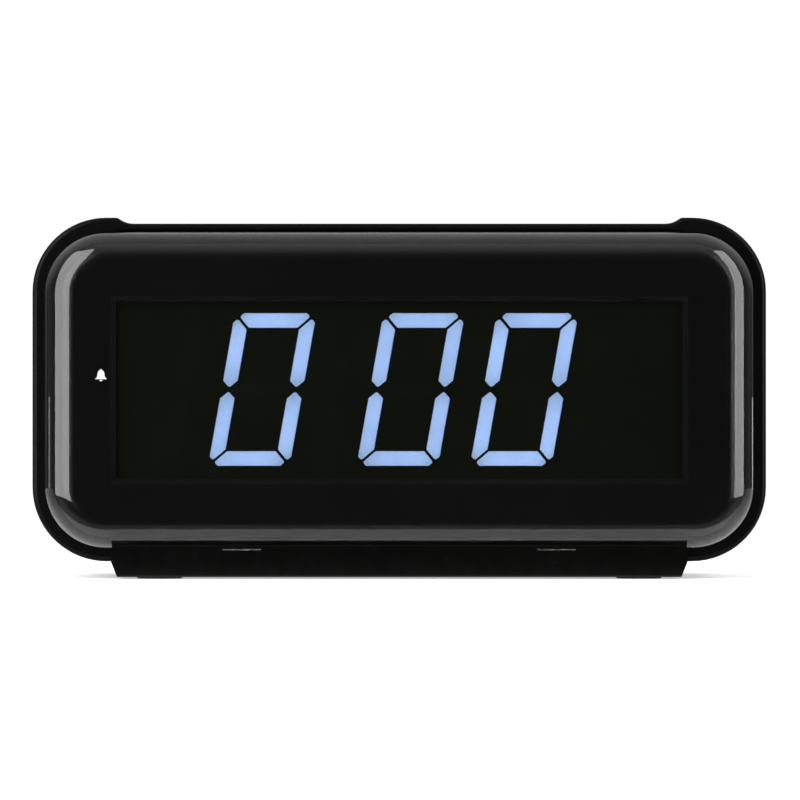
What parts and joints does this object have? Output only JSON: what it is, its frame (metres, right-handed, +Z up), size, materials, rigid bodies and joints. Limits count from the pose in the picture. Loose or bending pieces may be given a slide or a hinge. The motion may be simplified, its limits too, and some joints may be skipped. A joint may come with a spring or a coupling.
{
  "type": "digital alarm clock",
  "caption": "Wide rounded tabletop LED alarm clock with a domed clear front, slanted lit digits, a snooze bar in the top, rear setting keys, a battery bay and a flat foot.",
  "frame": {"origin": "on the table under the middle of the clock: bottom centre of its bounding box", "axes": "+X to the viewer's right along the width, +Y from the display towards the back, +Z up; the display faces -Y"},
  "size_m": [0.1468, 0.054, 0.0722],
  "materials": {
    "case_plastic": "fine spark-eroded black",
    "foot_plastic": "satin black",
    "clear_acrylic": "polished clear",
    "black_foam": "closed-cell foam",
    "mask_plastic": "polished black",
    "tinted_filter": "smoked, polished",
    "reflector_plastic": "matt dark grey",
    "lit_diffuser": "frosted, lit from behind",
    "dark_diffuser": "frosted, unlit",
    "led_resin": "clear yellowish resin",
    "circuit_board": "green solder mask",
    "plated_screws": "zinc plated",
    "socket_plastic": "natural nylon",
    "ribbon_grey": "grey vinyl",
    "chip_resin": "black epoxy",
    "tinned_leads": "tinned",
    "capacitor_sleeve": "shrink sleeve",
    "snooze_plastic": "satin black",
    "switch_plastic": "black",
    "bracket_plastic": "unpolished black",
    "spring_steel": "bright wire",
    "button_plastic": "satin dark grey",
    "inlet_plastic": "black nylon",
    "contact_metal": "nickel plated",
    "black_wire": "vinyl insulation",
    "red_wire": "vinyl insulation",
    "cell_sleeve": "printed plastic sleeve",
    "clip_metal": "satin",
    "foot_rubber": "moulded rubber"
  },
  "bodies": {
    "case": {"housing_shell": "case_plastic", "rear_cover": "case_plastic", "foot_base": "foot_plastic", "front_lens": "clear_acrylic", "lens_gasket": "black_foam", "bezel_mask": "mask_plastic", "display_filter": "tinted_filter", "display_reflector": "reflector_plastic", "hours_digit": "lit_diffuser", "minutes_tens_digit": "lit_diffuser", "minutes_digit": "lit_diffuser", "unlit_segments": "dark_diffuser", "led_chips": "led_resin", "display_board": "circuit_board", "main_board": "circuit_board", "display_screws": "plated_screws", "board_screws": "plated_screws", "case_screws": "plated_screws", "foot_screws": "plated_screws", "ribbon_sockets": "socket_plastic", "ribbon_cable": "ribbon_grey", "clock_chip": "chip_resin", "segment_drivers": "chip_resin", "clock_chip_legs": "tinned_leads", "quartz_crystal": "tinned_leads", "smoothing_capacitors": "capacitor_sleeve", "chip_resistors": "chip_resin", "snooze_bracket": "bracket_plastic", "snooze_switch": "switch_plastic", "snooze_spring_left": "spring_steel", "snooze_spring_right": "spring_steel", "button_switches": "switch_plastic", "alarm_slide_switch": "switch_plastic", "dimmer_slide_switch": "switch_plastic", "power_inlet": "inlet_plastic", "power_inlet_pin": "contact_metal", "buzzer": "inlet_plastic", "buzzer_wires": "black_wire", "backup_cells": "cell_sleeve", "battery_spring_lower": "contact_metal", "battery_spring_upper": "contact_metal", "battery_contacts": "contact_metal", "battery_wire_red": "red_wire", "battery_wire_black": "black_wire", "foot_clips": "clip_metal", "foot_pads": "foot_rubber"},
    "snooze_key": {"snooze_bar": "snooze_plastic", "snooze_plunger": "switch_plastic"},
    "time_key": {"time_button": "button_plastic", "time_plunger": "switch_plastic"},
    "alarm_key": {"alarm_button": "button_plastic", "alarm_plunger": "switch_plastic"},
    "hour_key": {"hour_button": "button_plastic", "hour_plunger": "switch_plastic"},
    "minute_key": {"minute_button": "button_plastic", "minute_plunger": "switch_plastic"},
    "alarm_slider": {"alarm_slide_knob": "button_plastic"},
    "dimmer_slider": {"dimmer_slide_knob": "button_plastic"},
    "battery_flap": {"battery_door": "case_plastic"}
  },
  "joints": [
    {"name": "snooze_press", "type": "slide", "parent": "case", "child": "snooze_key", "axis": [0, 0, -1], "range_m": [0, 0.0015], "stiffness_N_per_m": 800, "springref_m": -0.001, "deforming": ["snooze_spring_left", "snooze_spring_right"]},
    {"name": "time_press", "type": "slide", "parent": "case", "child": "time_key", "axis": [0, -1, 0], "range_m": [0, 0.0005], "stiffness_N_per_m": 1200, "springref_m": -0.0008},
    {"name": "alarm_press", "type": "slide", "parent": "case", "child": "alarm_key", "axis": [0, -1, 0], "range_m": [0, 0.0005], "stiffness_N_per_m": 1200, "springref_m": -0.0008},
    {"name": "hour_press", "type": "slide", "parent": "case", "child": "hour_key", "axis": [0, -1, 0], "range_m": [0, 0.0005], "stiffness_N_per_m": 1200, "springref_m": -0.0008},
    {"name": "minute_press", "type": "slide", "parent": "case", "child": "minute_key", "axis": [0, -1, 0], "range_m": [0, 0.0005], "stiffness_N_per_m": 1200, "springref_m": -0.0008},
    {"name": "alarm_slide", "type": "slide", "parent": "case", "child": "alarm_slider", "axis": [1, 0, 0], "range_m": [0, 0.004]},
    {"name": "dimmer_slide", "type": "slide", "parent": "case", "child": "dimmer_slider", "axis": [1, 0, 0], "range_m": [0, 0.004]},
    {"name": "battery_door_hinge", "type": "hinge", "parent": "case", "child": "battery_flap", "pos_m": [-0.032, 0.0259, 0.0217], "axis": [-1, 0, 0], "range_deg": [0, 85]}
  ]
}
